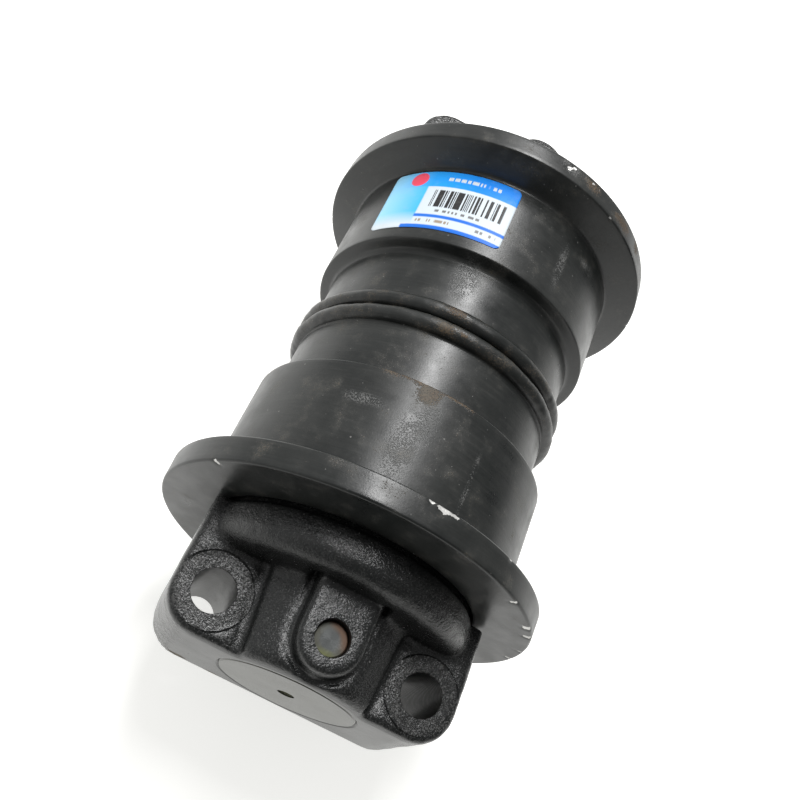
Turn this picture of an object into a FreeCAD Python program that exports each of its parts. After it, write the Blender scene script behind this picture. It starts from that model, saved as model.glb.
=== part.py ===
import FreeCAD, Part
import math
import os

from FreeCAD import Vector

# Track roller of a crawler undercarriage, in millimetres.
# The origin is the roller's centre on its axis. Y runs along the axis, Z points to the bolt heads
# and -Z to the track frame that the collars are bolted to.

# Shell: two forged halves welded at y = 0
flange_radius = 87.5
flange_crest_radius = 87.9
shell_end = 101.5
rim_start = 90.0
flange_root = 85.3
tread_radius = 71.75
tread_start = 37.2
neck_radius = 64.75
neck_end = 35.6
weld_lip_radius = 4.1
weld_lip_centre_radius = 65.1
weld_lip_offset = 4.3
inner_lip_radius = 2.5
chamber_radius = 38.0
recess_radius = 61.8
recess_floor = 93.0

# Shaft
shaft_radius = 31.0
shaft_end = 157.5
end_chamfer = 0.6
gallery_radius = 3.8
cross_drilling_radius = 3.0
centre_drilling_depth = 6.5

# Flanged bushes
running_clearance = 0.05
bush_radius = 35.0
bush_inner_end = 40.0
bush_flange_radius = 42.0
bush_flange_thickness = 4.0
end_play = 0.3
bush_entry_radius = 43.0

# Floating-face seals: distances are measured from the plane where the two metal rings meet
seal_plane = 94.0
half_face_gap = 0.05
seal_ring_bore = 38.4
seal_face_radius = 46.6
seal_face_thickness = 2.6
seal_ring_length = 8.6
cup_depth = 9.2
ramp_slope = 0.19
toric_start = 3.9
toric_length = 4.2
toric_inner_radius = 43.1
toric_outer_radius = 49.1
toric_corner = 1.7

# End collars
collar_half_width = 64.0
collar_block_start = 103.0
cast_bottom = -38.0
mounting_face = -35.0
mounting_relief = 0.6
cast_top = 24.8
spot_face = 24.2
lower_corner = 12.0
end_corner = 17.0
upper_edge = 3.5
sleeve_radius = 37.0
sleeve_end = 78.5
disc_inner_end = 94.8
disc_inner_radius = 60.0
ridge_radius = 62.5
ridge_start = 103.2
ridge_end = 120.5
hub_radius = 41.0
hub_end_radius = 39.8
hub_edge = 5.5
valley_radius = 3.0
valley_height = 26.6
valley_x_at_ridge = 33.6
valley_x_at_end = 29.2
bore_chamfer = 1.0

# Bolt holes, spot faces and lock pins
bolt_spacing_across = 94.0
bolt_spacing_along = 278.0
bolt_hole_radius = 9.0
spot_face_radius = 16.3
pin_y = 140.0
pin_radius = 7.0
pin_bottom = 8.0
pin_top = 42.0
pin_hole_radius = 7.2
boss_top = 45.5
boss_half_width = 14.0
boss_groove_width = 2.8
boss_groove_floor = 36.0
boss_edge = 2.5

# O-rings between shaft and collars
o_ring_centre = 112.0
o_ring_width = 4.4
o_ring_floor_radius = 28.2

# Rubber plug in the oil gallery
plug_outer_end = 156.3
plug_length = 9.0

# Label on the far tread
label_start = 43.8
label_end = 83.2
label_thickness = 0.25
label_first_angle = 5.3
label_last_angle = 59.0
label_corner = 3.0

Y_AXIS = Vector(0, 1, 0)
ORIGIN = Vector(0, 0, 0)


def unit(start, end):
    length = math.dist(start, end)
    return ((end[0] - start[0]) / length, (end[1] - start[1]) / length)


def rounded_face(corners, place):
    """Face through corners (u, v, corner radius). place turns u, v into a point in space."""
    ends = []
    edges = []
    for i, (u, v, radius) in enumerate(corners):
        back = unit((u, v), corners[i - 1][:2])
        ahead = unit((u, v), corners[(i + 1) % len(corners)][:2])
        if radius == 0:
            ends.append((place(u, v), place(u, v)))
            continue
        half_angle = math.acos(back[0] * ahead[0] + back[1] * ahead[1]) / 2
        cut = radius / math.tan(half_angle)
        middle = unit((0, 0), (back[0] + ahead[0], back[1] + ahead[1]))
        depth = radius / math.sin(half_angle) - radius
        start = place(u + back[0] * cut, v + back[1] * cut)
        end = place(u + ahead[0] * cut, v + ahead[1] * cut)
        crown = place(u + middle[0] * depth, v + middle[1] * depth)
        edges.append(Part.Arc(start, crown, end).toShape())
        ends.append((start, end))
    for i, (start, end) in enumerate(ends):
        line_start = ends[i - 1][1]
        if line_start.distanceToPoint(start) > 1e-6:
            edges.append(Part.LineSegment(line_start, start).toShape())
    return Part.Face(Part.Wire(Part.__sortEdges__(edges)))


def turned(corners, angle=360):
    """Solid turned about the roller's axis from corners (radius, y, corner radius)."""
    face = rounded_face(corners, lambda radius, y: Vector(radius, y, 0))
    return face.revolve(ORIGIN, Y_AXIS, angle)


def lip(ring_radius, y, radius):
    """Half-round weld lip as a full ring."""
    return Part.makeTorus(ring_radius, radius, Vector(0, y, 0), Y_AXIS)


def upright(radius, x, y, bottom, top):
    return Part.makeCylinder(radius, top - bottom, Vector(x, y, bottom))


def cup_radius(distance):
    """Radius of a seal cup's sloping wall at a distance from the seal plane."""
    return toric_outer_radius - ramp_slope * (distance - toric_start)


def ring_ramp_radius(distance):
    """Radius of a metal seal ring's sloping back at a distance from the seal plane."""
    return toric_inner_radius - ramp_slope * (distance - toric_start)


def shell_half():
    bush_seat = sleeve_end - end_play - bush_flange_thickness
    cup_floor = seal_plane - cup_depth
    body = turned([
        (chamber_radius, 0, 0),
        (neck_radius, 0, 0),
        (neck_radius, neck_end, 3.0),
        (tread_radius, tread_start, 0.8),
        (tread_radius, flange_root, 2.0),
        (flange_crest_radius, rim_start, 1.0),
        (flange_radius, shell_end, 1.2),
        (recess_radius, shell_end, 1.0),
        (recess_radius, recess_floor, 1.5),
        (cup_radius(seal_plane - recess_floor), recess_floor, 0.5),
        (cup_radius(cup_depth), cup_floor, 0.8),
        (bush_entry_radius, cup_floor, 0.5),
        (bush_entry_radius, bush_seat, 0),
        (bush_radius, bush_seat, 0),
        (bush_radius, bush_inner_end - 2, 0),
        (chamber_radius, bush_inner_end - 2, 0.8),
    ])
    outer_lip = lip(weld_lip_centre_radius, weld_lip_offset, weld_lip_radius)
    inner_lip = lip(chamber_radius, inner_lip_radius + 0.2, inner_lip_radius)
    return body.fuse([outer_lip, inner_lip]).removeSplitter()


def shaft():
    groove_start = o_ring_centre - o_ring_width / 2
    groove_end = o_ring_centre + o_ring_width / 2
    grooved_half = [
        (o_ring_floor_radius, groove_start, 0.4),
        (o_ring_floor_radius, groove_end, 0.4),
    ]
    profile = [(0, -shaft_end, 0), (shaft_radius - end_chamfer, -shaft_end, 0)]
    profile += [(shaft_radius, end_chamfer - shaft_end, 0)]
    profile += [(shaft_radius, -groove_end, 0.2)]
    profile += [(radius, -y, corner) for radius, y, corner in reversed(grooved_half)]
    profile += [(shaft_radius, -groove_start, 0.2), (shaft_radius, groove_start, 0.2)]
    profile += grooved_half
    profile += [(shaft_radius, groove_end, 0.2), (shaft_radius, shaft_end - end_chamfer, 0)]
    profile += [(shaft_radius - end_chamfer, shaft_end, 0), (0, shaft_end, 0)]
    body = turned(profile)
    gallery = Part.makeCylinder(gallery_radius, shaft_end + 6, Vector(0, -shaft_end, 0), Y_AXIS)
    cross_drilling = Part.makeCylinder(
        cross_drilling_radius, 2 * shaft_radius + 2, Vector(-shaft_radius - 1, 0, 0), Vector(1, 0, 0)
    )
    centre_drilling = Part.makeCone(
        0, gallery_radius, centre_drilling_depth,
        Vector(0, shaft_end - centre_drilling_depth, 0), Y_AXIS
    )
    cuts = [gallery, cross_drilling, centre_drilling]
    cuts += [upright(pin_radius, 0, y, pin_bottom, shaft_radius + 1) for y in (-pin_y, pin_y)]
    return body.cut(cuts)


def bush():
    outer_end = sleeve_end - end_play
    seat = outer_end - bush_flange_thickness
    bore = shaft_radius + running_clearance
    return turned([
        (bore, bush_inner_end, 0.4),
        (bush_radius, bush_inner_end, 0.6),
        (bush_radius, seat, 0),
        (bush_flange_radius, seat, 0.4),
        (bush_flange_radius, outer_end, 0.6),
        (bore, outer_end, 0.6),
    ])


def seal_ring(side):
    """Lapped metal ring. side is +1 towards the collar and -1 towards the shell."""
    ramp_start = seal_face_thickness + 0.8
    corners = [
        (seal_ring_bore, half_face_gap, 0.4),
        (seal_face_radius, half_face_gap, 0.6),
        (seal_face_radius, seal_face_thickness, 0.4),
        (ring_ramp_radius(ramp_start), ramp_start, 0.3),
        (ring_ramp_radius(seal_ring_length), seal_ring_length, 0.5),
        (seal_ring_bore, seal_ring_length, 0.5),
    ]
    return turned([(radius, seal_plane + side * y, corner) for radius, y, corner in corners])


def toric(side):
    """Rubber ring squeezed between a metal ring's ramp and its cup's wall."""
    toric_end = toric_start + toric_length
    corners = [
        (ring_ramp_radius(toric_start), toric_start, toric_corner),
        (cup_radius(toric_start), toric_start, toric_corner),
        (cup_radius(toric_end), toric_end, toric_corner),
        (ring_ramp_radius(toric_end), toric_end, toric_corner),
    ]
    return turned([(radius, seal_plane + side * y, corner) for radius, y, corner in corners])


def o_ring():
    start = o_ring_centre - o_ring_width / 2
    end = o_ring_centre + o_ring_width / 2
    return turned([
        (o_ring_floor_radius, start, 1.1),
        (shaft_radius, start, 1.1),
        (shaft_radius, end, 1.1),
        (o_ring_floor_radius, end, 1.1),
    ])


def boss_prism(half_width, bottom, top):
    """U-shaped prism that runs from the ridge around the lock pin."""
    start_y = ridge_end - 4
    straight = Part.makeBox(
        2 * half_width, pin_y - start_y, top - bottom, Vector(-half_width, start_y, bottom)
    )
    return straight.fuse(upright(half_width, 0, pin_y, bottom, top)).removeSplitter()


def collar_block():
    """Cast block, wide at mid-height, with rounded upper edges, lower corners and end corners."""
    height = cast_top - cast_bottom
    plan = rounded_face(
        [
            (-collar_half_width, collar_block_start, 0),
            (collar_half_width, collar_block_start, 0),
            (collar_half_width, shaft_end, end_corner),
            (-collar_half_width, shaft_end, end_corner),
        ],
        lambda x, y: Vector(x, y, cast_bottom),
    )
    block = plan.extrude(Vector(0, 0, height))
    upper_edges = []
    for edge in block.Edges:
        box = edge.BoundBox
        if box.ZMin > cast_top - 0.01 and box.YMax > collar_block_start + 0.01:
            upper_edges.append(edge)
    block = block.makeFillet(upper_edge, upper_edges)
    section = rounded_face(
        [
            (-collar_half_width, cast_bottom, lower_corner),
            (collar_half_width, cast_bottom, lower_corner),
            (collar_half_width, cast_top, 0),
            (-collar_half_width, cast_top, 0),
        ],
        lambda x, z: Vector(x, collar_block_start, z),
    )
    return block.common(section.extrude(Vector(0, shaft_end - collar_block_start, 0)))


def valley(side):
    """Cutter for the hollow between the hub and a bolt pad, which closes in towards the end."""
    start = Vector(side * valley_x_at_ridge, ridge_end - 1, valley_height)
    end = Vector(side * valley_x_at_end, shaft_end, valley_height)
    run = end - start
    return Part.makeCylinder(valley_radius, run.Length + 2, start, run)


def collar():
    bore = shaft_radius
    round_body = turned([
        (bore, sleeve_end, 0.5),
        (sleeve_radius, sleeve_end, 0.8),
        (sleeve_radius, seal_plane + cup_depth, 0.8),
        (cup_radius(cup_depth), seal_plane + cup_depth, 0.8),
        (cup_radius(disc_inner_end - seal_plane), disc_inner_end, 0.5),
        (disc_inner_radius, disc_inner_end, 2.0),
        (disc_inner_radius, ridge_start, 1.0),
        (ridge_radius, ridge_start, 1.4),
        (ridge_radius, ridge_end, 8.0),
        (hub_radius, ridge_end, 4.0),
        (hub_end_radius, shaft_end, hub_edge),
        (bore + bore_chamfer, shaft_end, 0),
        (bore, shaft_end - bore_chamfer, 0),
    ])
    groove = boss_prism(boss_half_width + boss_groove_width, boss_groove_floor, boss_top + 1)
    boss = boss_prism(boss_half_width, 0, boss_top)
    boss_rim = [edge for edge in boss.Edges if min(v.Z for v in edge.Vertexes) > boss_top - 0.01]
    boss = boss.makeFillet(boss_edge, boss_rim)
    inner_space = Part.makeCylinder(bore, 2 * shaft_end, ORIGIN, Y_AXIS)
    cast = round_body.fuse(collar_block()).cut([groove, valley(-1), valley(1)]).fuse(boss)
    # The cutter that makes the mounting face also trims the ridge's wall a little.
    cutter_start = ridge_end - mounting_relief
    below = Part.makeBox(
        4 * collar_half_width, shaft_end, 50,
        Vector(-2 * collar_half_width, cutter_start, mounting_face - 50)
    )
    cuts = [inner_space, below, upright(pin_hole_radius, 0, pin_y, 0, boss_top + 1)]
    row_y = bolt_spacing_along / 2
    for x in (-bolt_spacing_across / 2, bolt_spacing_across / 2):
        cuts.append(upright(bolt_hole_radius, x, row_y, cast_bottom - 1, cast_top + 1))
        cuts.append(upright(spot_face_radius, x, row_y, spot_face, boss_top))
    return cast.cut(cuts).removeSplitter()


def lock_pin():
    """Chamfered pin that stands across the collar and the shaft."""
    body = upright(pin_radius, 0, pin_y, pin_bottom, pin_top)
    rims = [edge for edge in body.Edges if len(edge.Vertexes) == 1]
    return body.makeChamfer(0.6, rims)


def oil_plug():
    inner_end = plug_outer_end - plug_length
    return turned([
        (0, -plug_outer_end, 0),
        (gallery_radius, -plug_outer_end, 1.2),
        (gallery_radius, -inner_end, 1.0),
        (0, -inner_end, 0),
    ])


def label():
    outer = tread_radius + label_thickness
    span = label_last_angle - label_first_angle
    sheet = turned([
        (tread_radius, label_start, 0),
        (outer, label_start, 0),
        (outer, label_end, 0),
        (tread_radius, label_end, 0),
    ], span)
    corners = [edge for edge in sheet.Edges if abs(edge.Length - label_thickness) < 1e-3]
    sheet = sheet.makeFillet(label_corner, corners)
    # The turned sheet starts at +X and runs towards -Z; this brings it to the -X side of +Z.
    sheet.rotate(ORIGIN, Y_AXIS, -90 - label_last_angle)
    return sheet


def at_both_ends(name, shape):
    """The far piece as it is, and the near piece as its mirror image."""
    return {
        name + "_far": shape,
        name + "_near": shape.mirror(ORIGIN, Y_AXIS),
    }


def build():
    nodes = {"shaft": shaft(), "oil_plug": oil_plug(), "label": label()}
    nodes.update(at_both_ends("shell_half", shell_half()))
    nodes.update(at_both_ends("bush", bush()))
    nodes.update(at_both_ends("collar", collar()))
    nodes.update(at_both_ends("lock_pin", lock_pin()))
    nodes.update(at_both_ends("shaft_o_ring", o_ring()))
    nodes.update(at_both_ends("fixed_seal_ring", seal_ring(1)))
    nodes.update(at_both_ends("fixed_toric", toric(1)))
    nodes.update(at_both_ends("turning_seal_ring", seal_ring(-1)))
    nodes.update(at_both_ends("turning_toric", toric(-1)))
    return nodes


os.makedirs("parts", exist_ok=True)
for node, solid in build().items():
    print(node, solid.ShapeType, "valid", solid.isValid(), "solids", len(solid.Solids), round(solid.Volume))
    solid.exportStep("parts/" + node + ".step")
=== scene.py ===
import math

import bmesh
import bpy
import numpy as np
from mathutils import Matrix, Vector, noise


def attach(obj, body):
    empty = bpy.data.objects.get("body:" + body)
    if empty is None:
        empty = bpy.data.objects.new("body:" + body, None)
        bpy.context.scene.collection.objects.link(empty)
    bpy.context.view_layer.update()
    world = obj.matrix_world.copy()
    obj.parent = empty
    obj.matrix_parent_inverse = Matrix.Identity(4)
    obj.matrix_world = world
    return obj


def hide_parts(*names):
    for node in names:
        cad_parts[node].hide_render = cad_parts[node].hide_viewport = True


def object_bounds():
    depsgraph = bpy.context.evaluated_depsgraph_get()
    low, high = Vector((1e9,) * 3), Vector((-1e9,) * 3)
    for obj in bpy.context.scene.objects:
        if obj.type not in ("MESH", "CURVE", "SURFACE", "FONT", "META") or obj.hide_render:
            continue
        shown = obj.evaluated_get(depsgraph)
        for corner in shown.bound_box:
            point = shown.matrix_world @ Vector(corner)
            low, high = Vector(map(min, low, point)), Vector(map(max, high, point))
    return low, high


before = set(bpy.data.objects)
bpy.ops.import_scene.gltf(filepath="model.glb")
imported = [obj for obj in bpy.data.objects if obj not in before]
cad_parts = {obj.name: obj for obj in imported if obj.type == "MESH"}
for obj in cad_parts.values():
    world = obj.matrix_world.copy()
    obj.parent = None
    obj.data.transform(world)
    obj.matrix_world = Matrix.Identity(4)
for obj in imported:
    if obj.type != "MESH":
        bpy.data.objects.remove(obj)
CAD_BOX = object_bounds()

MM = 0.001

# Camera: where it stands, which way it looks and how far it is rolled.
CAMERA_PLACE = Vector((-0.0627, -0.2233, 0.3669))
CAMERA_FORWARD = Vector((0.1272, 0.5011, -0.8560))
CAMERA_ROLL = math.radians(41.32)
CAMERA_LENS = 38.85

# Shell halves, in millimetres as in the CAD.
CHAMBER_RADIUS = 38.0
NECK_RADIUS = 64.75
NECK_END = 35.6
TREAD_RADIUS = 71.75
TREAD_START = 37.2
FLANGE_ROOT = 85.3
FLANGE_RADIUS = 87.5
FLANGE_CREST_RADIUS = 87.9
RIM_START = 90.0
SHELL_END = 101.5
WELD_LIP = (65.1, 4.3, 4.1)
WELD_LIP_END = 8.4
RECESS_RADIUS = 61.8
RECESS_FLOOR = 93.0
CUP_TOP_RADIUS = 49.65
CUP_BOTTOM_RADIUS = 48.09
CUP_BOTTOM = 84.8
BUSH_ENTRY_RADIUS = 43.0
BUSH_RADIUS = 35.0
BUSH_START = 38.0
BUSH_END = 74.2
SHELL_SEGMENTS = 480

# End collars, in millimetres as in the CAD.
BOLT_X = 47.0
BOLT_Y = 139.0
BOLT_HOLE_RADIUS = 9.0
SPOT_FACE_RADIUS = 16.3
SPOT_FACE = 24.2
PIN_Y = 140.0
PIN_HOLE_RADIUS = 7.2
BOSS_TOP = 45.5
PIN_RIM = BOSS_TOP - 0.3
SHAFT_RADIUS = 31.0
COLLAR_END = 157.5
BLOCK_START = 103.0
RIDGE_END = 120.5
MOUNTING_FACE = -35.0
CAST_VOXEL = 0.9
# Waves of the cast skin: (height, width).
CAST_WAVES = ((0.26, 15), (0.13, 5.5), (0.09, 2.6))

# Label, in millimetres and in degrees from +Z.
LABEL_START = 43.8
LABEL_END = 83.2
LABEL_FIRST_ANGLE = -59.0
LABEL_LAST_ANGLE = -5.3
LABEL_CORNER = 3.0
LABEL_THICKNESS = 0.25
LABEL_ARC = math.radians(LABEL_LAST_ANGLE - LABEL_FIRST_ANGLE) * (TREAD_RADIUS + LABEL_THICKNESS)
LABEL_LENGTH = LABEL_END - LABEL_START

# Studio: the floor glows a little, and the surroundings grow from dark to bright along a direction.
FLOOR_GAP = 0.0002
FLOOR_COLOUR = (0.62, 0.62, 0.61, 1)
FLOOR_GLOW = (1.0, 1.0, 0.97, 1)
FLOOR_GLOW_STRENGTH = 0.69
BRIGHT_DIRECTION = (-0.72, 0.60, -0.10)
DARKEST, BRIGHTEST = 0.15, 0.74
KEY_PLACE = Vector((-0.17, 0.72, 1.33))
KEY_SIZE = (0.24, 1.1)
KEY_POWER = 30


# ---------------------------------------------------------------- shaders

class Shader:
    """A Principled material that is built up node by node."""

    def __init__(self, name):
        self.material = bpy.data.materials.new(name)
        self.material.use_nodes = True
        self.tree = self.material.node_tree
        self.surface = self.tree.nodes["Principled BSDF"]
        self.place = self.node("ShaderNodeTexCoord").outputs["Object"]

    def node(self, kind, inputs=None, **settings):
        made = self.tree.nodes.new(kind)
        for key, value in settings.items():
            setattr(made, key, value)
        for key, value in (inputs or {}).items():
            self.feed(made.inputs[key], value)
        return made

    def feed(self, socket, value):
        """Link a socket, or give it a plain value."""
        if isinstance(value, bpy.types.NodeSocket):
            self.tree.links.new(value, socket)
        else:
            socket.default_value = value

    def set(self, **inputs):
        for key, value in inputs.items():
            self.feed(self.surface.inputs[key.replace("_", " ")], value)

    def attribute(self, name):
        return self.node("ShaderNodeAttribute", attribute_name=name).outputs["Fac"]

    def noise(self, scale, detail=3.0, roughness=0.5, place=None):
        made = self.node("ShaderNodeTexNoise", {
            "Vector": place or self.place, "Scale": scale, "Detail": detail, "Roughness": roughness,
        })
        return made.outputs["Fac"]

    def stretched(self, x, y, z):
        """The place with its axes scaled, for marks that run one way."""
        return self.node("ShaderNodeMapping", {"Vector": self.place, "Scale": (x, y, z)}).outputs["Vector"]

    def step(self, value, low, high, out_low=0.0, out_high=1.0):
        """Straight ramp from out_low at low to out_high at high, level beyond them."""
        made = self.node("ShaderNodeMapRange", {
            "Value": value, "From Min": low, "From Max": high, "To Min": out_low, "To Max": out_high,
        })
        return made.outputs["Result"]

    def maths(self, operation, a, b=0.0):
        return self.node("ShaderNodeMath", {0: a, 1: b}, operation=operation).outputs[0]

    def times(self, *values):
        result = values[0]
        for value in values[1:]:
            result = self.maths("MULTIPLY", result, value)
        return result

    def plus(self, *values):
        result = values[0]
        for value in values[1:]:
            result = self.maths("ADD", result, value)
        return result

    def most(self, *values):
        result = values[0]
        for value in values[1:]:
            result = self.maths("MAXIMUM", result, value)
        return result

    def swing(self, value, amount):
        """How far a noise value is from its middle of one half, times an amount."""
        return self.times(self.plus(value, -0.5), amount)

    def mix(self, factor, a, b):
        made = self.node("ShaderNodeMix", {0: factor, 6: a, 7: b}, data_type="RGBA")
        return made.outputs[2]

    def blend(self, factor, a, b):
        made = self.node("ShaderNodeMix", {0: factor, 2: a, 3: b}, data_type="FLOAT")
        return made.outputs[0]

    def between(self, value, low, high, soft):
        """1 between low and high, 0 outside, with soft edges."""
        rises = self.step(value, low - soft, low + soft)
        falls = self.step(value, high - soft, high + soft, 1.0, 0.0)
        return self.times(rises, falls)

    def specks(self, scale, size, share):
        """Round specks: cells per metre, a speck's share of its cell, and the share of cells with one."""
        cells = self.node("ShaderNodeTexVoronoi", {"Vector": self.place, "Scale": scale})
        chance = self.node("ShaderNodeSeparateColor", {"Color": cells.outputs["Color"]}).outputs["Red"]
        near = self.step(cells.outputs["Distance"], size, size * 0.5)
        return self.times(near, self.step(chance, 1 - share, 1 - share + 0.02))

    def bumps(self, *layers):
        """Bump nodes in a chain, each given as (height, distance in metres, strength)."""
        normal = None
        for height, distance, strength in layers:
            inputs = {"Height": height, "Distance": distance, "Strength": strength}
            if normal:
                inputs["Normal"] = normal
            normal = self.node("ShaderNodeBump", inputs).outputs["Normal"]
        self.set(Normal=normal)

    def parts(self):
        """The three coordinates of the place, in metres."""
        made = self.node("ShaderNodeSeparateXYZ", {"Vector": self.place})
        return made.outputs["X"], made.outputs["Y"], made.outputs["Z"]

    def length(self, a, b):
        """Length of the vector with parts a and b."""
        both = self.node("ShaderNodeCombineXYZ", {"X": a, "Y": b})
        return self.node("ShaderNodeVectorMath", {0: both.outputs[0]}, operation="LENGTH").outputs["Value"]


def grey(level, tint=(1.0, 1.0, 1.0)):
    """Colour of the given level, tinted."""
    return tuple(level * t for t in tint) + (1.0,)


def shell_paint():
    """Satin black paint over turned steel, with stains, scuffs, rust, dust and bare chips."""
    s = Shader("shell_paint")
    clouds = s.noise(26, 4)
    smudges = s.noise(90, 5, 0.6)
    grain = s.noise(1100, 2)
    grit = s.noise(1500, 2, 0.7)
    fine = s.noise(3200, 2)
    rubs = s.noise(60, 5, 0.65, s.stretched(1, 9, 1))
    lines = s.noise(800, 3, 0.6, s.stretched(0.03, 1, 0.03))
    mottle = s.plus(s.times(clouds, 0.5), s.times(smudges, 0.3), s.times(lines, 0.2))
    dark, light = grey(0.007, (0.80, 1.0, 0.97)), grey(0.025, (0.95, 1.0, 0.94))
    colour = s.mix(s.step(mottle, 0.36, 0.64), dark, light)
    colour = s.mix(s.step(rubs, 0.52, 0.8, 0, 0.30), colour, grey(0.05, (1.0, 1.0, 0.95)))
    colour = s.mix(s.step(smudges, 0.54, 0.76, 0, 0.5), colour, grey(0.06, (1.0, 0.99, 0.88)))

    scuff = s.step(s.plus(grit, s.swing(smudges, 0.7)), 0.50, 0.66)
    scuff = s.times(s.attribute("scuff"), scuff)
    colour = s.mix(s.times(scuff, 0.7), colour, grey(0.16, (1.0, 1.0, 0.98)))

    rust = s.plus(s.attribute("rust"), s.swing(smudges, 2.6), s.swing(grit, 2.4))
    rust = s.step(rust, 0.50, 1.15)
    brown, orange = grey(0.014, (1.0, 0.60, 0.28)), grey(0.12, (1.0, 0.62, 0.30))
    brown = s.mix(s.step(grit, 0.35, 0.65), brown, orange)
    brown = s.mix(s.step(smudges, 0.5, 0.64, 0, 0.6), brown, grey(0.07, (1.0, 0.92, 0.70)))
    colour = s.mix(s.times(rust, 0.8), colour, brown)

    dust = s.most(s.specks(240, 0.12, 0.12), s.specks(700, 0.2, 0.04))
    colour = s.mix(s.times(dust, 0.4), colour, grey(0.30, (1.0, 0.98, 0.93)))

    bare = s.plus(s.attribute("bare"), s.swing(smudges, 0.7), s.swing(grain, 0.6))
    bare = s.step(bare, 0.5, 0.58)
    colour = s.mix(bare, colour, grey(0.60, (1.0, 0.99, 0.96)))

    rough = s.plus(s.step(clouds, 0.3, 0.7, 0.30, 0.41), s.swing(smudges, 0.34))
    rough = s.blend(s.most(scuff, rust), rough, 0.62)
    rough = s.blend(dust, rough, 0.8)
    rough = s.blend(bare, rough, 0.42)
    s.set(Base_Color=colour, Roughness=rough, Metallic=s.times(bare, 0.75), IOR=1.43)
    s.bumps(
        (clouds, 0.0006, 0.25), (smudges, 0.0002, 0.15), (s.most(scuff, rust), 0.00015, 0.6),
        (grain, 0.00006, 0.4), (fine, 0.00002, 0.3), (lines, 0.00004, 0.5), (bare, 0.00015, -0.5),
    )
    return s.material


def collar_paint():
    """Thick gloss paint over a sand-cast skin; the end faces are smooth."""
    s = Shader("collar_paint")
    clouds = s.noise(40, 4)
    sand = s.noise(640, 3, 0.65)
    fine_sand = s.noise(1500, 2, 0.6)
    lumps = s.noise(260, 3)
    x, y, z = s.parts()
    from_middle = s.maths("ABSOLUTE", y)
    cast = s.step(from_middle, (COLLAR_END - 0.9) * MM, (COLLAR_END - 0.2) * MM, 1.0, 0.10)
    colour = s.mix(clouds, grey(0.005, (0.85, 1.0, 0.97)), grey(0.011, (0.93, 1.0, 0.98)))

    flake = s.plus(s.attribute("flake"), s.swing(lumps, 1.4), s.swing(sand, 0.7))
    flake = s.step(flake, 0.45, 0.62)
    brown, tan = grey(0.05, (1.0, 0.66, 0.36)), grey(0.15, (1.0, 0.80, 0.52))
    brown = s.mix(s.step(lumps, 0.4, 0.6), brown, tan)
    colour = s.mix(s.times(flake, 0.85), colour, brown)
    dust = s.most(s.specks(260, 0.12, 0.10), s.specks(700, 0.2, 0.04))
    colour = s.mix(s.times(dust, 0.4), colour, grey(0.30, (1.0, 0.98, 0.93)))

    across_bolt = s.plus(s.maths("ABSOLUTE", x), -BOLT_X * MM)
    to_bolt = s.length(across_bolt, s.plus(from_middle, -BOLT_Y * MM))
    spot_face = s.step(to_bolt, SPOT_FACE_RADIUS * MM, (SPOT_FACE_RADIUS - 1.0) * MM)
    grit = s.step(s.plus(s.noise(1250, 2, 0.6), s.swing(lumps, 0.25)), 0.50, 0.60)
    less_on_top = s.step(z, 0.030, 0.046, 1.0, 0.6)
    grit = s.times(grit, cast, s.step(spot_face, 0, 1, 0.28, 1.0), less_on_top)
    colour = s.mix(s.times(grit, 0.8), colour, grey(0.085, (1.0, 1.0, 0.97)))

    rough = s.step(clouds, 0.3, 0.7, 0.22, 0.28)
    rough = s.blend(s.most(flake, dust), rough, 0.75)
    s.set(Base_Color=colour, Roughness=rough)
    s.bumps(
        (s.times(lumps, cast), 0.0008, 0.20), (s.times(sand, cast), 0.0006, 0.45),
        (s.times(fine_sand, cast), 0.0003, 0.5), (grit, 0.00025, 0.7), (s.noise(160, 3), 0.0003, 0.12),
        (flake, 0.0002, 0.6),
    )
    return s.material


def hole_paint():
    """Gloss black over the drilled walls, where the tool left rings; on the side of -X the rings are
    painted lighter, as painted light from the floor.
    """
    s = Shader("hole_paint")
    x, _, z = s.parts()
    wander = s.noise(90, 3)
    rings = s.maths("SINE", s.times(s.plus(z, s.times(wander, 0.0015)), 4200.0))
    rings = s.times(rings, s.step(s.noise(300, 2), 0.3, 0.6))
    colour = s.mix(wander, grey(0.004), grey(0.016, (1.0, 1.0, 0.95)))
    # Painted light: on the -X side the tool rings are drawn lighter, standing in for light from the floor
    # below; on the +X side they stay dark.
    painted_light_rings = s.times(s.step(rings, 0.5, 1.0, 0.0, 0.6), s.step(x, 0.0, -0.02))
    colour = s.mix(painted_light_rings, colour, grey(0.08, (1.0, 1.0, 0.96)))
    s.set(
        Base_Color=colour, Roughness=s.plus(0.24, s.times(wander, 0.14)),
        Specular_IOR_Level=s.step(x, -0.02, 0.02, 0.45, 0.12),
    )
    s.bumps((rings, 0.00008, 0.5), (s.noise(700, 3), 0.0001, 0.4))
    return s.material


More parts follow.
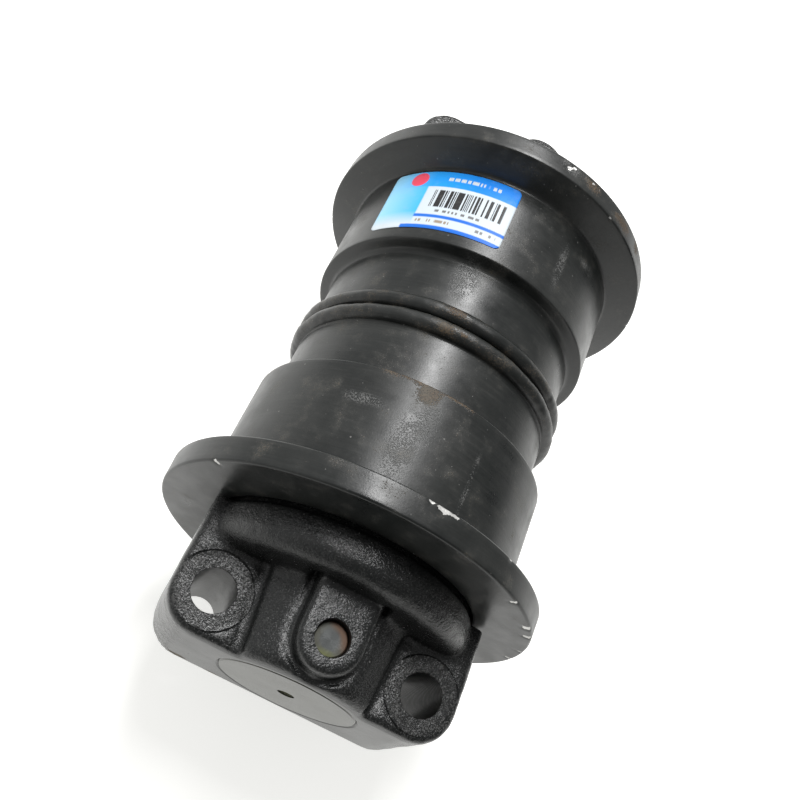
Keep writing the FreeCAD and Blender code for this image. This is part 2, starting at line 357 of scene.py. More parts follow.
def shaft_steel():
    """Ground steel along the shaft and thinly painted, turned end faces."""
    s = Shader("shaft_steel")
    x, y, z = s.parts()
    radius = s.length(x, z)
    from_middle = s.maths("ABSOLUTE", y)
    end_face = s.step(from_middle, (COLLAR_END - 0.9) * MM, (COLLAR_END - 0.5) * MM)
    clouds = s.noise(50, 4)
    grain = s.noise(1500, 3)
    wobble = s.times(s.noise(200, 2), 0.0002)
    turning = s.maths("SINE", s.times(s.plus(radius, wobble), 9000.0))
    lengthwise = s.noise(1200, 3, 0.6, s.stretched(0.6, 1, 0.6))
    steel = s.mix(lengthwise, grey(0.38, (1.0, 1.0, 0.99)), grey(0.52, (1.0, 0.99, 0.97)))
    paint = s.mix(clouds, grey(0.034, (0.97, 1.0, 0.72)), grey(0.052, (1.0, 1.0, 0.74)))
    dust = s.specks(500, 0.16, 0.12)
    paint = s.mix(s.times(dust, 0.4), paint, grey(0.3))
    steel_rough = s.step(lengthwise, 0.3, 0.7, 0.22, 0.34)
    paint_rough = s.step(clouds, 0.3, 0.7, 0.18, 0.24)
    s.set(
        Base_Color=s.mix(end_face, steel, paint),
        Roughness=s.blend(end_face, steel_rough, paint_rough),
        Metallic=s.maths("SUBTRACT", 1.0, end_face),
    )
    s.bumps((s.times(turning, end_face), 0.00002, 0.25), (grain, 0.00003, 0.4), (clouds, 0.0004, 0.1))
    return s.material


def pin_steel():
    """Turned pin, clean in the middle, with oily and rusty stains round its rim."""
    s = Shader("pin_steel")
    x, y, _ = s.parts()
    across = s.maths("SUBTRACT", s.maths("ABSOLUTE", y), PIN_Y * MM)
    radius = s.length(x, across)
    smudges = s.noise(350, 4, 0.6)
    grain = s.noise(2600, 3)
    turning = s.maths("SINE", s.times(radius, 16000.0))
    colour = s.mix(smudges, grey(0.050, (0.95, 1.0, 1.0)), grey(0.085, (0.95, 1.0, 0.99)))
    rim = s.step(s.plus(radius, s.swing(smudges, 0.004)), 0.0036, 0.0062)
    colour = s.mix(s.times(rim, 0.8), colour, grey(0.055, (1.0, 0.96, 0.62)))
    lean = s.plus(s.times(x, 0.7), s.times(y, 0.7), PIN_Y * MM * 0.7)
    brown = s.times(s.step(lean, 0.0012, 0.0045), s.step(radius, 0.003, 0.0052))
    colour = s.mix(s.times(brown, 0.85), colour, grey(0.105, (1.0, 0.52, 0.30)))
    outer_edge = s.step(s.plus(y, PIN_Y * MM), -0.0036, -0.0062)
    green = s.times(outer_edge, s.step(s.maths("ABSOLUTE", x), 0.005, 0.002))
    colour = s.mix(s.times(green, 0.85), colour, grey(0.11, (0.92, 1.0, 0.28)))
    s.set(
        Base_Color=colour, Roughness=s.plus(0.32, s.times(rim, 0.2), s.times(smudges, 0.1)),
        Metallic=s.step(rim, 0, 1, 0.8, 0.25),
    )
    s.bumps((turning, 0.00002, 0.3), (grain, 0.00003, 0.4), (s.times(rim, smudges), 0.0002, 0.4))
    return s.material


def turned_metal(name, dark, light, roughness, metallic):
    """Bare turned metal with tool marks that run round the axis and a little handling stain."""
    s = Shader(name)
    x, y, z = s.parts()
    section = s.node("ShaderNodeCombineXYZ", {"X": s.length(x, z), "Y": y}).outputs[0]
    marks = s.noise(2400, 4, 0.6, section)
    stain = s.noise(70, 4, 0.6)
    colour = s.mix(marks, dark, light)
    colour = s.mix(s.step(stain, 0.5, 0.8, 0, 0.5), colour, dark)
    s.set(
        Base_Color=colour, Metallic=metallic,
        Roughness=s.plus(roughness - 0.06, s.times(stain, 0.12)),
    )
    s.bumps((marks, 0.00004, 0.35), (s.noise(900, 3), 0.00003, 0.3))
    return s.material


def rubber(name, base, roughness):
    """Moulded rubber with a matt skin, a faint bloom and fine pores."""
    s = Shader(name)
    bloom = s.noise(120, 5, 0.6)
    pores = s.noise(2600, 3)
    colour = s.mix(s.step(bloom, 0.45, 0.75, 0, 0.6), base, grey(0.05))
    s.set(Base_Color=colour, Roughness=s.plus(roughness, s.times(bloom, 0.15)))
    s.bumps((pores, 0.00004, 0.4), (bloom, 0.0002, 0.15))
    return s.material


def plug_rubber():
    """Black plug with a crusty yellow-green ring."""
    s = Shader("plug_rubber")
    x, _, z = s.parts()
    radius = s.length(x, z)
    crust = s.noise(900, 4, 0.6)
    ring = s.between(s.plus(radius, s.swing(crust, 0.002)), 0.0016, 0.0036, 0.0004)
    colour = s.mix(crust, grey(0.012), grey(0.04, (1.0, 1.0, 0.8)))
    colour = s.mix(s.times(ring, 0.85), colour, grey(0.20, (0.95, 1.0, 0.25)))
    s.set(Base_Color=colour, Roughness=s.plus(0.4, s.times(crust, 0.25)))
    s.bumps((crust, 0.0002, 0.5), (ring, 0.0002, 0.4))
    return s.material


def label_print():
    """Printed paper: across runs round the roller and along runs with its axis, both from 0 to 1."""
    s = Shader("label_print")
    across = s.attribute("across")
    along = s.attribute("along")
    soft = 0.006

    def area(left, right, bottom, top):
        return s.times(s.between(across, left, right, soft), s.between(along, bottom, top, soft * 1.4))

    def random_bars(count, share, offset):
        """Bars of random widths across the label."""
        cell = s.maths("FLOOR", s.plus(s.times(across, count), offset))
        chance = s.node("ShaderNodeTexWhiteNoise", {"W": cell}, noise_dimensions="1D").outputs["Value"]
        return s.step(chance, share - 0.01, share + 0.01, 1.0, 0.0)

    white = grey(0.62, (0.90, 1.0, 1.07))
    blue = grey(0.78, (0.015, 0.29, 1.0))
    ink_blue = grey(0.60, (0.03, 0.24, 1.0))
    pale_blue, mid_blue = grey(0.82, (0.36, 0.74, 1.0)), grey(0.86, (0.04, 0.46, 1.0))
    panel = s.mix(s.step(across, 0.02, 0.36), pale_blue, mid_blue)
    panel = s.mix(s.step(along, 0.28, 0.06), panel, white)
    band = s.mix(s.step(across, 0.1, 0.75), panel, blue)

    colour = s.mix(s.step(across, 0.335 - soft, 0.335 + soft), panel, white)
    colour = s.mix(s.step(along, 0.725 - soft, 0.725 + soft), colour, band)
    colour = s.mix(area(0.33, 1.1, 0.185, 0.235), colour, ink_blue)
    colour = s.mix(area(0.26, 1.1, -0.1, 0.055), colour, ink_blue)
    for place, bars, ink in (
        (area(0.395, 0.94, 0.37, 0.665), random_bars(168, 0.52, 21), grey(0.03)),
        (area(0.47, 0.80, 0.285, 0.325), random_bars(74, 0.5, 90), grey(0.16)),
        (area(0.36, 0.62, 0.105, 0.15), random_bars(110, 0.5, 40), grey(0.30, (1.0, 0.8, 0.6))),
        (area(0.80, 0.95, 0.105, 0.15), random_bars(110, 0.5, 55), grey(0.2)),
        (area(0.46, 0.88, 0.84, 0.895), random_bars(84, 0.62, 12), white),
    ):
        colour = s.mix(s.times(place, bars), colour, ink)
    spot_across = s.times(s.plus(across, -0.235), LABEL_ARC)
    spot_along = s.times(s.plus(along, -0.86), LABEL_LENGTH)
    red = grey(0.78, (1.0, 0.10, 0.17))
    colour = s.mix(s.step(s.length(spot_across, spot_along), 4.9, 4.5), colour, red)

    fibre = s.noise(1600, 3)
    smear = s.noise(120, 5, 0.6)
    colour = s.mix(s.step(smear, 0.55, 0.9, 0, 0.25), colour, grey(0.45, (1.0, 0.97, 0.9)))
    s.set(Base_Color=colour, Roughness=s.plus(0.36, s.times(smear, 0.15)), Specular_IOR_Level=0.16)
    s.bumps((fibre, 0.00003, 0.3), (smear, 0.0004, 0.1))
    return s.material


# ---------------------------------------------------------------- meshes

def arc(centre, radius, start, end, step):
    """Points on an arc in the (radius, y) plane; angles in radians."""
    count = max(3, math.ceil(abs(end - start) * radius / step))
    angles = np.linspace(start, end, count + 1)
    return [(centre[0] + radius * math.cos(a), centre[1] + radius * math.sin(a)) for a in angles]


def rounded_corner(before, here, after, radius, step):
    """Arc that rounds the corner at here, between two straight runs."""
    back = (Vector(before) - Vector(here)).normalized()
    ahead = (Vector(after) - Vector(here)).normalized()
    half_angle = back.angle(ahead) / 2
    centre = Vector(here) + (back + ahead).normalized() * radius / math.sin(half_angle)
    start = Vector(here) + back * radius / math.tan(half_angle) - centre
    end = Vector(here) + ahead * radius / math.tan(half_angle) - centre
    first = math.atan2(start.y, start.x)
    turn = (math.atan2(end.y, end.x) - first + math.pi) % (2 * math.pi) - math.pi
    return arc(centre, radius, first, first + turn, step)


def rounded_outline(corners, step=0.45):
    """Closed outline through corners (radius, y, corner radius)."""
    points = []
    for i, (radius, y, corner) in enumerate(corners):
        if corner == 0:
            points.append((radius, y))
            continue
        before = corners[i - 1][:2]
        after = corners[(i + 1) % len(corners)][:2]
        points += rounded_corner(before, (radius, y), after, corner, step)
    return points


def lip_arc(lip, outside, step=0.5):
    """Points over a weld lip, from the weld plane out along a cylinder of the given radius."""
    centre_radius, centre_y, radius = lip
    sink = math.asin((centre_radius - outside) / radius)
    return arc((centre_radius, centre_y), radius, -math.pi / 2 - sink, math.pi / 2 + sink, step)


def even_runs(points, longest, unseen_radius):
    """The closed outline with points added so that no run is longer than the given length.

    Runs that lie inside the unseen radius may be four times as long.
    """
    result = []
    for i, (radius, y) in enumerate(points):
        after = points[(i + 1) % len(points)]
        allowed = 4 * longest if max(radius, after[0]) < unseen_radius else longest
        pieces = max(1, math.ceil(math.dist((radius, y), after) / allowed))
        for k in range(pieces):
            result.append((
                radius + (after[0] - radius) * k / pieces,
                y + (after[1] - y) * k / pieces,
            ))
    return result


def noise_field(points, size, seed):
    """Smooth noise at points in millimetres; size is the distance between bumps."""
    shift = Vector((seed * 17.3, seed * 5.1, -seed * 9.7))
    return np.array([noise.noise(Vector(p) / size + shift) for p in points])


def new_piece(name, vertices, faces, body, material, replaces):
    """A smooth mesh in place of a CAD node; its vertices are in millimetres."""
    mesh = bpy.data.meshes.new(name)
    mesh.from_pydata((np.asarray(vertices) * MM).tolist(), [], faces)
    mesh.polygons.foreach_set("use_smooth", [True] * len(mesh.polygons))
    mesh.materials.append(material)
    piece = bpy.data.objects.new(name, mesh)
    bpy.context.scene.collection.objects.link(piece)
    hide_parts(replaces)
    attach(piece, body)
    return piece


def set_attribute(piece, name, values):
    """Give a piece one number for each point, which its material reads by name."""
    layer = piece.data.attributes.new(name, "FLOAT", "POINT")
    layer.data.foreach_set("value", np.asarray(values, np.float32))


def ring_faces(rings, around):
    """Quads of a closed tube of closed rings: around is the number of points in each ring."""
    faces = []
    for i in range(rings):
        after = (i + 1) % rings
        for j in range(around):
            beside = (j + 1) % around
            faces.append((i * around + j, i * around + beside, after * around + beside, after * around + j))
    return faces


def spots(angle, y, radius, marks):
    """Strength from 0 to 1 of marks (angle, y, half length round the roller, half length along it)."""
    result = np.zeros(len(angle))
    for mark_angle, mark_y, half_round, half_along in marks:
        turn = (angle - mark_angle + 180) % 360 - 180
        round_distance = np.radians(turn) * radius / half_round
        distance = np.hypot(round_distance, (y - mark_y) / half_along)
        result = np.maximum(result, np.clip(1.6 - distance, 0, 1))
    return result


# Marks on the shell: (angle from +Z, distance from the weld, half length round, half length along).
SHELL_MARKS = {
    "near": {
        "bare": [
            (3.6, 90.4, 1.3, 0.6), (7.2, 91.0, 3.0, 1.2), (10.2, 90.8, 2.4, 0.8),
            (56.8, 101.4, 1.4, 0.6), (63.5, 101.3, 0.9, 0.5),
        ],
        "rust": [
            (-7.0, 40.8, 4.6, 4.2), (-15.0, 37.6, 13.0, 1.5), (3.0, 37.4, 9.0, 1.3),
            (-11.0, 5.6, 3.6, 2.0), (-4.0, 5.2, 2.0, 1.0), (140.0, 37.6, 12.0, 1.4),
            (-120.0, 38.6, 6.0, 2.6),
        ],
        "scuff": [
            (-8.5, 68.0, 5.0, 13.0), (-4.0, 54.0, 4.0, 8.0), (-26.6, 53.8, 7.0, 2.0),
            (17.0, 66.0, 1.0, 11.0), (128.0, 60.0, 8.0, 4.0), (-130.0, 68.0, 6.0, 9.0),
        ],
    },
    "far": {
        "bare": [
            (4.0, 96.5, 1.6, 1.0), (5.6, 98.3, 1.0, 0.9), (13.5, 98.5, 1.0, 0.6),
            (24.0, 90.3, 0.8, 0.4),
        ],
        "rust": [
            (-9.5, 4.6, 5.0, 2.6), (14.0, 97.0, 5.0, 3.0), (30.0, 96.0, 8.0, 3.0),
            (42.0, 97.0, 5.0, 3.0), (150.0, 38.0, 9.0, 1.4),
        ],
        "scuff": [
            (20.0, 60.0, 2.0, 12.0), (35.0, 74.0, 7.0, 1.6), (-12.0, 26.0, 5.0, 9.0),
            (-75.0, 66.0, 8.0, 3.0), (160.0, 62.0, 7.0, 8.0), (4.5, 97.5, 4.0, 3.5),
        ],
    },
}

# Flaked spots on the collars' end faces: (x, z, half width, half height).
COLLAR_FLAKES = [
    (-36.0, -35.5, 6.0, 2.2), (-29.0, -34.0, 5.0, 2.5), (-46.0, -30.0, 4.0, 2.0),
    (40.0, -36.0, 5.0, 2.0),
]


def shell_profile():
    """The half shell's closed section as (radius, y) rows, and its outward normals."""
    corners = [
        (NECK_RADIUS, WELD_LIP_END, 0), (NECK_RADIUS, NECK_END, 3.0), (TREAD_RADIUS, TREAD_START, 0.8),
        (TREAD_RADIUS, FLANGE_ROOT, 2.0), (FLANGE_CREST_RADIUS, RIM_START, 1.0),
        (FLANGE_RADIUS, SHELL_END, 1.2), (RECESS_RADIUS, SHELL_END, 1.0),
        (RECESS_RADIUS, RECESS_FLOOR, 1.5), (CUP_TOP_RADIUS, RECESS_FLOOR, 0.5),
        (CUP_BOTTOM_RADIUS, CUP_BOTTOM, 0.8), (BUSH_ENTRY_RADIUS, CUP_BOTTOM, 0.5),
        (BUSH_ENTRY_RADIUS, BUSH_END, 0), (BUSH_RADIUS, BUSH_END, 0), (BUSH_RADIUS, BUSH_START, 0),
        (CHAMBER_RADIUS, BUSH_START, 0.8), (CHAMBER_RADIUS, WELD_LIP_END, 0), (CHAMBER_RADIUS, 0.0, 0),
        (NECK_RADIUS, 0.0, 0),
    ]
    # The first corner gives way to the weld lip's own end on the neck.
    outline = rounded_outline(corners)[1:] + lip_arc(WELD_LIP, NECK_RADIUS)
    profile = np.array(even_runs(outline, 1.6, RECESS_RADIUS))
    tangent = np.roll(profile, -1, axis=0) - np.roll(profile, 1, axis=0)
    tangent /= np.linalg.norm(tangent, axis=1)[:, None]
    return profile, np.stack([tangent[:, 1], -tangent[:, 0]], axis=1)


def turned_points(angle, radius, y):
    """Points at an angle in degrees from +Z towards +X, a radius and a place along the axis."""
    turn = np.radians(angle)
    return np.stack([radius * np.sin(turn), y, radius * np.cos(turn)], axis=1)


def shell_piece(end, material, random):
    """One forged half of the roller's shell, with its curled weld lip, chipped rims and wear marks."""
    side = 1 if end == "far" else -1
    profile, normal = shell_profile()
    rings = len(profile)
    angle = np.tile(np.linspace(0, 360, SHELL_SEGMENTS, endpoint=False), rings)
    radius, y = np.repeat(profile, SHELL_SEGMENTS, axis=0).T
    out_radius, out_y = np.repeat(normal, SHELL_SEGMENTS, axis=0).T

    place = turned_points(angle, radius, y)
    seed = 3 + side
    outside = (radius > 63) & (y < SHELL_END + 1)
    on_lip = np.clip((radius - NECK_RADIUS) / 2, 0, 1) * (y < 9)
    waves = np.zeros(len(y))
    waves[outside] = 0.10 * noise_field(place[outside], 24, seed) - 0.06
    lumps = np.zeros(len(y))
    curl = on_lip > 0
    lumps[curl] = 0.32 * noise_field(place[curl], 11, seed + 5)
    lumps[curl] += 0.14 * noise_field(place[curl], 3.5, seed + 6)

    marks = SHELL_MARKS[end]
    chips = list(marks["bare"])
    for rim_y in (RIM_START + 0.3, SHELL_END - 0.2):
        for _ in range(6):
            chip_angle = random.uniform(30, 330)
            chips.append((chip_angle, rim_y, random.uniform(0.4, 1.1), random.uniform(0.2, 0.5)))
    bare = spots(angle, y, radius, chips) * (radius > 84)
    rust = spots(angle, y, radius, marks["rust"]) * outside
    scuff = spots(angle, y, radius, marks["scuff"]) * outside

    crest = np.clip((radius - 86.6) / 0.6, 0, 1)
    offset = waves * (1 - crest) + lumps * on_lip - 0.45 * bare - 0.05 * crest
    radius = radius + out_radius * offset
    place = turned_points(angle, radius, y + out_y * offset)
    place[:, 1] *= side
    faces = ring_faces(rings, SHELL_SEGMENTS)
    if side < 0:
        faces = [face[::-1] for face in faces]
    piece = new_piece(
        "shell_" + end, place, faces, "roller", material, "shell_half_" + end,
    )
    rim_wear = 0.22 * np.clip(1 - np.abs(profile[:, 1] - RIM_START) / 0.8, 0, 1)
    rim_wear = np.repeat(rim_wear, SHELL_SEGMENTS) * (radius > 86)
    set_attribute(piece, "bare", np.maximum(bare, rim_wear))
    set_attribute(piece, "rust", np.maximum(rust, 0.28 * on_lip))
    set_attribute(piece, "scuff", scuff)


def apply_modifiers(piece):
    tree = bpy.context.evaluated_depsgraph_get()
    mesh = bpy.data.meshes.new_from_object(piece.evaluated_get(tree))
    piece.modifiers.clear()
    piece.data = mesh


def solid_object(name, vertices, faces):
    """A working object with its faces turned outward."""
    mesh = bpy.data.meshes.new(name)
    mesh.from_pydata(vertices, [], faces)
    soup = bmesh.new()
    soup.from_mesh(mesh)
    bmesh.ops.recalc_face_normals(soup, faces=soup.faces)
    soup.to_mesh(mesh)
    soup.free()
    made = bpy.data.objects.new(name, mesh)
    bpy.context.scene.collection.objects.link(made)
    return made


def turned_solid(name, points, centre=(0, 0, 0), upright=False):
    """Solid turned from an open line of (radius, height), with flat ends.

    Its axis is Z if upright, or else Y.
    """
    count = 96
    vertices = []
    for radius, height in points:
        for k in range(count):
            a = 2 * math.pi * k / count
            across, beside = radius * math.sin(a), radius * math.cos(a)
            spot = (across, beside, height) if upright else (across, height, beside)
            vertices.append([(spot[i] + centre[i]) * MM for i in range(3)])
    faces = [tuple(range(count)), tuple(range((len(points) - 1) * count, len(points) * count))]
    for i in range(len(points) - 1):
        for k in range(count):
            a, b = i * count + k, i * count + (k + 1) % count
            faces.append((a, b, b + count, a + count))
    return solid_object(name, vertices, faces)


def ring_solid(name, radius, centre, depth):
    """Ring with a diamond section, which cuts a V-groove round an upright hole."""
    count = 120
    vertices = []
    for across, up in ((-depth, 0), (0, -depth), (depth, 0), (0, depth)):
        for k in range(count):
            a = 2 * math.pi * k / count
            vertices.append([
                ((radius + across) * math.sin(a) + centre[0]) * MM,
                ((radius + across) * math.cos(a) + centre[1]) * MM,
                (centre[2] + up) * MM,
            ])
    return solid_object(name, vertices, ring_faces(4, count))


def join(first, others):
    """Add the meshes of the others to the first object."""
    soup = bmesh.new()
    for o in [first] + others:
        soup.from_mesh(o.data)
    soup.to_mesh(first.data)
    soup.free()
    for o in others:
        bpy.data.objects.remove(o)


def cut_away(piece, cutter):
    cut = piece.modifiers.new("cut", "BOOLEAN")
    cut.operation = "DIFFERENCE"
    cut.solver = "MANIFOLD"
    cut.object = cutter
    apply_modifiers(piece)
    bpy.data.objects.remove(cutter)


def smoothed(place, edges, strength, rounds):
    """Points pulled towards the mean of their neighbours, by a strength from 0 to 1 for each point."""
    number = np.bincount(edges.ravel(), minlength=len(place))
    for _ in range(rounds):
        mean = np.empty_like(place)
        for axis in range(3):
            here = place[:, axis]
            total = np.bincount(edges[:, 0], here[edges[:, 1]], len(place))
            total += np.bincount(edges[:, 1], here[edges[:, 0]], len(place))
            mean[:, axis] = total / np.maximum(number, 1)
        place = place + (mean - place) * (0.5 * strength)[:, None]
    return place


def filled_collar(end, side):
    """A copy of the CAD collar with its holes filled, remeshed evenly."""
    casting = bpy.data.objects.new("casting_" + end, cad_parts["collar_" + end].data.copy())
    bpy.context.scene.collection.objects.link(casting)

    def filling(radius, low, high, centre=(0, 0, 0), upright=False):
        return turned_solid("filling", [(radius, low), (radius, high)], centre, upright)

    fillings = [
        filling(SHAFT_RADIUS + 2, side * 80.0, side * (COLLAR_END - 0.3)),
        filling(PIN_HOLE_RADIUS + 1.5, 20, PIN_RIM, (0, side * PIN_Y, 0), True),
    ]
    for bolt_x in (-BOLT_X, BOLT_X):
        centre = (bolt_x, side * BOLT_Y, 0)
        fillings.append(
            filling(BOLT_HOLE_RADIUS + 1.5, MOUNTING_FACE + 0.3, SPOT_FACE - 0.2, centre, True)
        )
    join(casting, fillings)
    soup = bmesh.new()
    soup.from_mesh(casting.data)
    bmesh.ops.remove_doubles(soup, verts=soup.verts, dist=1e-5)
    soup.to_mesh(casting.data)
    soup.free()
    remesh = casting.modifiers.new("remesh", "REMESH")
    remesh.mode = "VOXEL"
    remesh.voxel_size = CAST_VOXEL * MM
    apply_modifiers(casting)
    return casting


def cast_skin(casting, side):
    """Soften the block's edges and make its skin wavy; the mounting face stays flat."""
    mesh = casting.data
    count = len(mesh.vertices)
    place = np.zeros(count * 3)
    mesh.vertices.foreach_get("co", place)
    place = place.reshape(-1, 3) / MM
    edges = np.zeros(len(mesh.edges) * 2, int)
    mesh.edges.foreach_get("vertices", edges)
    y, z = place[:, 1] * side, place[:, 2]
    mounting = (np.abs(z - MOUNTING_FACE) < 0.5) & (y > RIDGE_END)
    skin = np.clip((y - BLOCK_START) / 1.5, 0, 1) * ~mounting
    place = smoothed(place, edges.reshape(-1, 2), skin, 12)
    mesh.vertices.foreach_set("co", (place * MM).ravel())
    mesh.update()
    normals = np.zeros(count * 3)
    mesh.vertices.foreach_get("normal", normals)

    rough = skin > 0
    shifts = np.zeros(count)
    for k, (height, width) in enumerate(CAST_WAVES):
        shifts[rough] += height * noise_field(place[rough], width, 20 + side + k)
    at_end = place[:, 1] * side > COLLAR_END - 0.6
    shifts *= skin * np.where(at_end, 0.15, 1.0)
    place += normals.reshape(-1, 3) * shifts[:, None]
    place[mounting, 2] = MOUNTING_FACE
    place[:, 1] = np.clip(place[:, 1], -COLLAR_END, COLLAR_END)
    mesh.vertices.foreach_set("co", (place * MM).ravel())
    mesh.update()

    near_end = place[:, 1] * side > COLLAR_END - 6
    flake = np.zeros(count)
    for flake_x, flake_z, half_x, half_z in COLLAR_FLAKES:
        distance = np.hypot((place[:, 0] - flake_x) / half_x, (place[:, 2] - flake_z) / half_z)
        flake = np.maximum(flake, np.clip(1.6 - distance, 0, 1) * near_end)
    set_attribute(casting, "flake", flake)


def drill_collar(casting, side):
    """Cut the bore, the pin hole and the bolt holes with their rims, and a ring round each spot face."""
    mouth, rim = 1.0, 0.35
    bore = [
        (SHAFT_RADIUS, side * 70.0), (SHAFT_RADIUS, side * (COLLAR_END - mouth)),
        (SHAFT_RADIUS + 2 * mouth, side * (COLLAR_END + mouth)),
    ]
    cut_away(casting, turned_solid("bore", bore))
    pin_hole = [
        (PIN_HOLE_RADIUS, 25.0), (PIN_HOLE_RADIUS, PIN_RIM),
        (PIN_HOLE_RADIUS + 4 * rim, PIN_RIM + 4 * rim),
    ]
    cut_away(casting, turned_solid("pin_hole", pin_hole, (0, side * PIN_Y, 0), True))
    bolt_hole = [
        (BOLT_HOLE_RADIUS + 3 * rim, MOUNTING_FACE - 2 * rim), (BOLT_HOLE_RADIUS, MOUNTING_FACE + rim),
        (BOLT_HOLE_RADIUS, SPOT_FACE - rim), (BOLT_HOLE_RADIUS + 4 * rim, SPOT_FACE + 3 * rim),
    ]
    for bolt_x in (-BOLT_X, BOLT_X):
        cut_away(casting, turned_solid("bolt_hole", bolt_hole, (bolt_x, side * BOLT_Y, 0), True))
        on_face = (bolt_x, side * BOLT_Y, SPOT_FACE + 0.1)
        cut_away(casting, ring_solid("spot_ring", SPOT_FACE_RADIUS - 0.2, on_face, 0.55))


def collar_piece(end, cast_finish, hole_finish):
    """Sand-cast collar: soft cast edges and a wavy skin, with drilled holes and a true mounting face."""
    side = 1 if end == "far" else -1
    casting = filled_collar(end, side)
    cast_skin(casting, side)
    drill_collar(casting, side)

    mesh = casting.data
    mesh.materials.clear()
    mesh.materials.append(cast_finish)
    mesh.materials.append(hole_finish)
    for face in mesh.polygons:
        middle = face.center / MM
        to_bolt = math.hypot(abs(middle.x) - BOLT_X, abs(middle.y) - BOLT_Y)
        to_pin = math.hypot(middle.x, abs(middle.y) - PIN_Y)
        in_pin_hole = to_pin < PIN_HOLE_RADIUS + 0.05 and middle.z > 30
        face.material_index = int(in_pin_hole or to_bolt < BOLT_HOLE_RADIUS + 0.05)
        face.use_smooth = True
    mesh.set_sharp_from_angle(angle=math.radians(38))
    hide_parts("collar_" + end)
    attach(casting, "shaft_assembly")


def label_piece(material):
    """Paper label bent round the far tread, with rounded corners."""
    columns, rows = 96, 56
    near_ends = np.array([0.004, 0.012, 0.988, 0.996])
    along = np.sort(np.concatenate([np.linspace(0, 1, rows + 1), near_ends]))
    top, bottom, across_values, along_values = [], [], [], []
    for v in along:
        edge = max(0.0, LABEL_CORNER - min(v, 1 - v) * LABEL_LENGTH)
        inset = LABEL_CORNER - math.sqrt(max(0.0, LABEL_CORNER ** 2 - edge ** 2))
        y = LABEL_START + LABEL_LENGTH * v
        for k in range(columns + 1):
            u = (inset + (LABEL_ARC - 2 * inset) * k / columns) / LABEL_ARC
            angle = math.radians(LABEL_FIRST_ANGLE + (LABEL_LAST_ANGLE - LABEL_FIRST_ANGLE) * u)
            rim = min(u * LABEL_ARC, (1 - u) * LABEL_ARC, v * LABEL_LENGTH, (1 - v) * LABEL_LENGTH)
            wrinkle = 0.03 * noise.noise(Vector((u * 9, v * 6, 4.2)))
            height = LABEL_THICKNESS * (0.55 + 0.4 * min(1.0, rim / 0.8)) + wrinkle
            for layer, radius in ((top, TREAD_RADIUS + height), (bottom, TREAD_RADIUS + 0.01)):
                layer.append((radius * math.sin(angle), y, radius * math.cos(angle)))
            across_values.append(u)
            along_values.append(v)
    width = columns + 1
    count = len(top)
    faces = []
    for i in range(len(along) - 1):
        for j in range(columns):
            a = i * width + j
            faces.append((a, a + 1, a + width + 1, a + width))
            faces.append((count + a, count + a + width, count + a + width + 1, count + a + 1))
    boundary = list(range(width)) + [i * width + columns for i in range(1, len(along))]
    boundary += [(len(along) - 1) * width + j for j in range(columns - 1, -1, -1)]
    boundary += [i * width for i in range(len(along) - 2, 0, -1)]
    for i, a in enumerate(boundary):
        b = boundary[(i + 1) % len(boundary)]
        faces.append((b, a, count + a, count + b))
    piece = new_piece("label_paper", top + bottom, faces, "roller", material, "label")
    set_attribute(piece, "across", across_values * 2)
    set_attribute(piece, "along", along_values * 2)


# ---------------------------------------------------------------- stage

def add_camera():
    """The photograph's viewpoint."""
    right = CAMERA_FORWARD.cross(Vector((0, 0, 1))).normalized()
    up = right.cross(CAMERA_FORWARD)
    rolled_right = math.cos(CAMERA_ROLL) * right + math.sin(CAMERA_ROLL) * up
    rolled_up = rolled_right.cross(CAMERA_FORWARD)
    camera = bpy.data.objects.new("camera", bpy.data.cameras.new("camera"))
    bpy.context.scene.collection.objects.link(camera)
    turn = Matrix((rolled_right, rolled_up, -CAMERA_FORWARD)).transposed()
    camera.matrix_world = Matrix.Translation(CAMERA_PLACE) @ turn.to_4x4()
    camera.data.lens = CAMERA_LENS
    camera.data.sensor_width = 36
    camera.data.clip_start = 0.01
    bpy.context.scene.camera = camera


def add_key_panel():
    """A soft panel that looks at the roller's centre, with its length along the roller."""
    data = bpy.data.lights.new("key", "AREA")
    data.shape = "RECTANGLE"
    data.size, data.size_y = KEY_SIZE
    data.energy = KEY_POWER
    light = bpy.data.objects.new("key", data)
    bpy.context.scene.collection.objects.link(light)
    back = KEY_PLACE.normalized()
    across = Vector((0, 1, 0)).cross(back).normalized()
    turn = Matrix((across, back.cross(across), back)).transposed()
    light.matrix_world = Matrix.Translation(KEY_PLACE) @ turn.to_4x4()


def add_floor():
    bpy.ops.mesh.primitive_plane_add(size=12, location=(0, 0, CAD_BOX[0][2] - FLOOR_GAP))
    floor = bpy.context.object
    floor.name = "floor"
    s = Shader("floor")
    s.set(
        Base_Color=FLOOR_COLOUR, Roughness=0.7,
        Emission_Color=FLOOR_GLOW, Emission_Strength=FLOOR_GLOW_STRENGTH,
    )
    floor.data.materials.append(s.material)


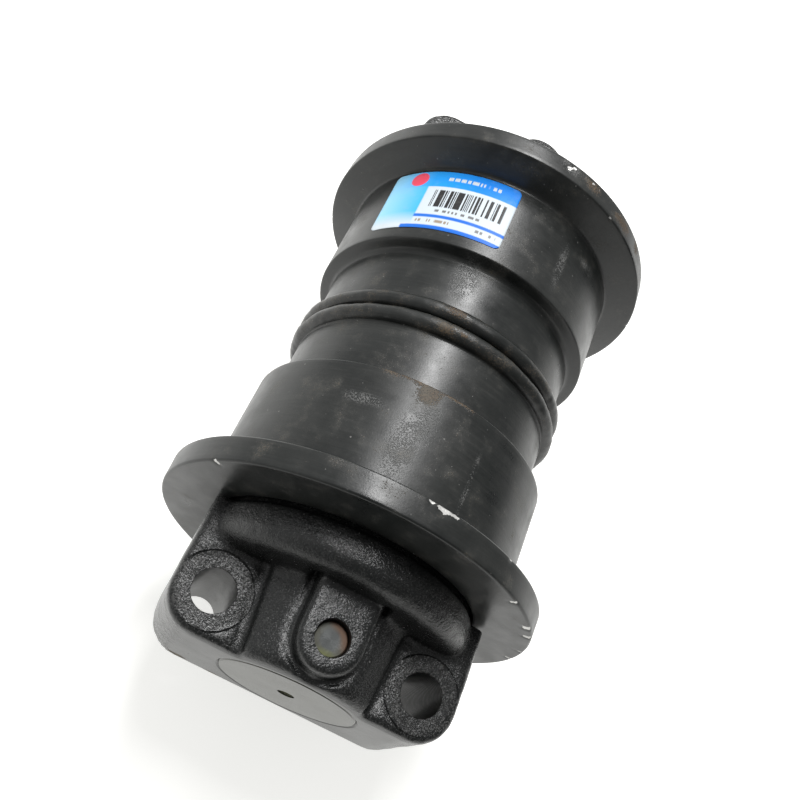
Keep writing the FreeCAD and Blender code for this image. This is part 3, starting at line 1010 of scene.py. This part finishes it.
def add_surroundings():
    """White light from all sides, whose strength grows along one direction."""
    world = bpy.data.worlds.new("studio")
    world.use_nodes = True
    tree = world.node_tree
    background = tree.nodes["Background"]
    direction = tree.nodes.new("ShaderNodeTexCoord").outputs["Generated"]
    slope = tree.nodes.new("ShaderNodeVectorMath")
    slope.operation = "DOT_PRODUCT"
    slope.inputs[1].default_value = BRIGHT_DIRECTION
    tree.links.new(direction, slope.inputs[0])
    level = tree.nodes.new("ShaderNodeMapRange")
    for socket, value in (
        ("From Min", -0.7), ("From Max", 0.7), ("To Min", DARKEST), ("To Max", BRIGHTEST),
    ):
        level.inputs[socket].default_value = value
    tree.links.new(slope.outputs["Value"], level.inputs["Value"])
    tree.links.new(level.outputs["Result"], background.inputs["Strength"])
    background.inputs["Color"].default_value = (1, 1, 1, 1)
    bpy.context.scene.world = world
    bpy.context.scene.view_settings.view_transform = "Standard"


add_camera()
add_floor()
add_surroundings()
add_key_panel()

random_chips = np.random.default_rng(7)
paint = shell_paint()
for which in ("near", "far"):
    shell_piece(which, paint, random_chips)
casting_paint, drilled_paint = collar_paint(), hole_paint()
for which in ("near", "far"):
    collar_piece(which, casting_paint, drilled_paint)
label_piece(label_print())

steel = shaft_steel()
pins = pin_steel()
dark_bronze, light_bronze = grey(0.22, (1.0, 0.62, 0.28)), grey(0.42, (1.0, 0.66, 0.32))
bronze = turned_metal("bush_bronze", dark_bronze, light_bronze, 0.34, 1.0)
iron = turned_metal("seal_iron", grey(0.20), grey(0.42, (1.0, 1.0, 0.98)), 0.26, 1.0)
black_rubber = rubber("seal_rubber", grey(0.012), 0.5)
plug = plug_rubber()
for node_name, finish in (
    ("shaft", steel), ("oil_plug", plug), ("lock_pin", pins), ("bush", bronze),
    ("shaft_o_ring", black_rubber), ("fixed_seal_ring", iron), ("turning_seal_ring", iron),
    ("fixed_toric", black_rubber), ("turning_toric", black_rubber),
):
    for name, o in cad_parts.items():
        if name in (node_name, node_name + "_near", node_name + "_far"):
            o.data.materials.clear()
            o.data.materials.append(finish)
